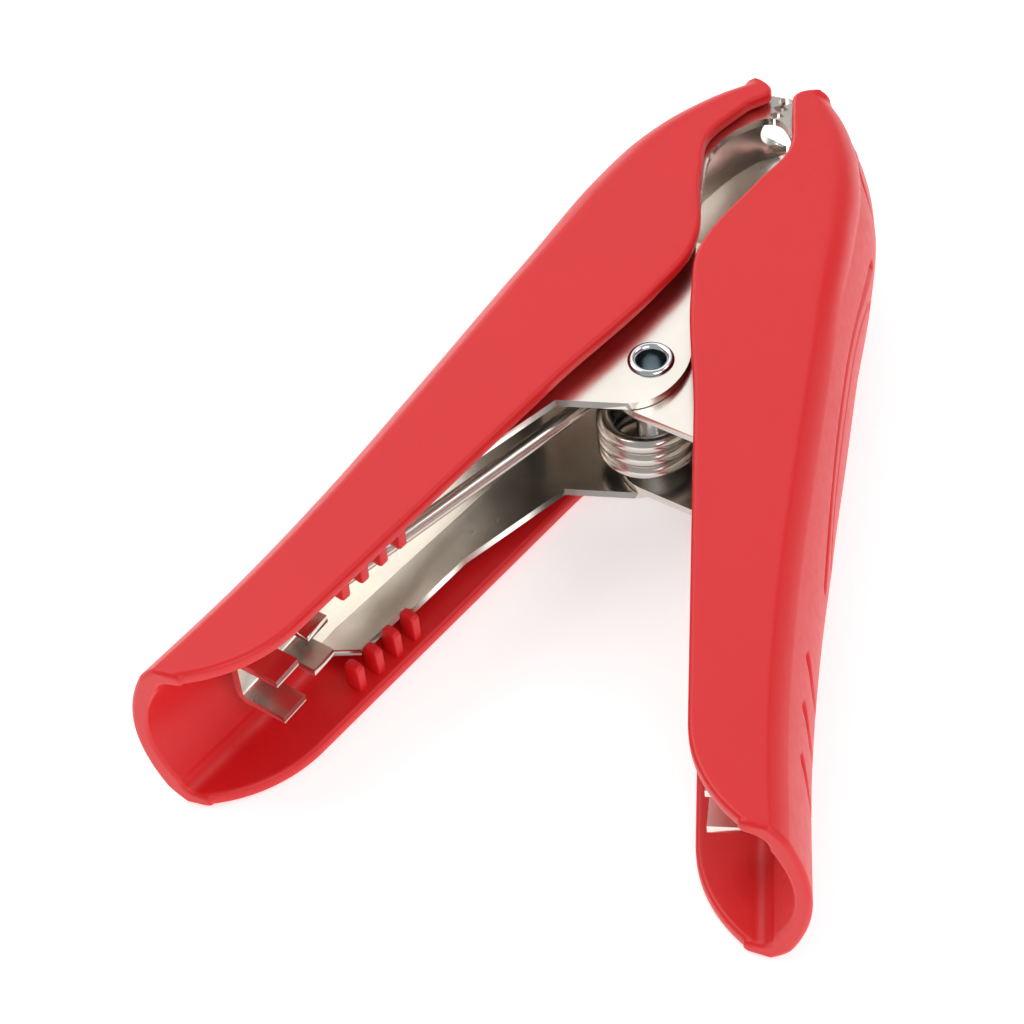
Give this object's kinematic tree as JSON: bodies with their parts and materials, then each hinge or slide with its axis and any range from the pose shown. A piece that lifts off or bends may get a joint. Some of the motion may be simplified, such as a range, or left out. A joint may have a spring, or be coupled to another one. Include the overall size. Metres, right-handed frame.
{
  "type": "insulated crocodile clip",
  "caption": "Sprung crocodile clip for battery terminals: sheet levers with toothed jaws and crimp tails on a hollow rivet, in moulded plastic covers.",
  "frame": {"origin": "centre of the rivet's bore, midway between its two ends", "axes": "+Z along the rivet, +X towards the jaws' tips, +Y towards the outer lever's cover; the clip lies on its side"},
  "size_m": [0.1104, 0.0748, 0.0222],
  "materials": {
    "cover_plastic": "semi-matte moulded red",
    "plated_sheet": "bright nickel plating",
    "spring_wire": "bright plated wire",
    "zinc_rivet": "blue zinc plating"
  },
  "bodies": {
    "outer_half": {"outer_lever": "plated_sheet", "left_cover": "cover_plastic", "hollow_rivet": "zinc_rivet", "torsion_spring": "spring_wire"},
    "inner_half": {"inner_lever": "plated_sheet", "right_cover": "cover_plastic"}
  },
  "joints": [
    {"name": "jaw_hinge", "type": "hinge", "parent": "outer_half", "child": "inner_half", "pos_m": [0, 0, 0], "axis": [0, 0, -1], "range_deg": [0, 44], "stiffness_Nm_per_rad": 0.9, "springref_deg": -28.65, "deforming": ["torsion_spring"]}
  ]
}
